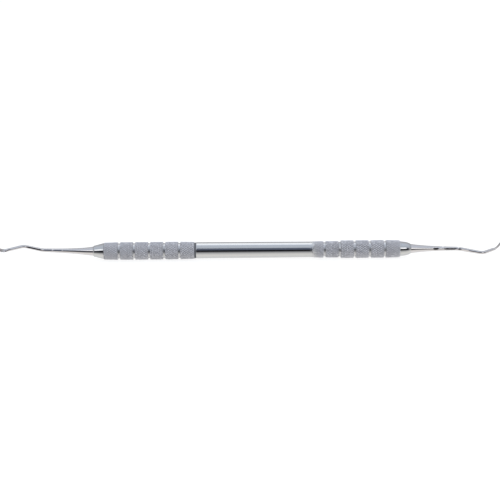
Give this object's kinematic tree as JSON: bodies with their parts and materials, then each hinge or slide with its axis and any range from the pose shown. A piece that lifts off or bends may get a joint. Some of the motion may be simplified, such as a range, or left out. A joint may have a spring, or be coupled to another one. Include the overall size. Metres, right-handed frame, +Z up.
{
  "type": "hand scaler",
  "caption": "Double-ended hand scaler: hollow knurled steel handle with a polished middle, a nose at each end and a bent shank with a small hooked round-toed blade.",
  "frame": {"origin": "on the handle's axis, at the middle of the handle's length", "axes": "+X along the handle towards the bullet-nosed end, +Z up as the instrument lies, -Y towards the viewer"},
  "size_m": [0.1748, 0.0063, 0.006],
  "materials": {
    "polished_steel": "mirror-polished stainless steel",
    "ground_steel": "ground and polished stainless steel",
    "knurled_steel": "diamond-knurled satin stainless steel",
    "turned_steel": "plain turned steel, hidden",
    "dark_ring": "dark satin ring"
  },
  "bodies": {
    "root": {"left_working_end": "ground_steel", "right_working_end": "ground_steel", "left_nose_cone": "polished_steel", "right_nose_cone": "polished_steel", "left_grip": "knurled_steel", "handle_tube": "polished_steel", "joint_ring": "dark_ring", "joint_spigot": "turned_steel"}
  },
  "joints": []
}
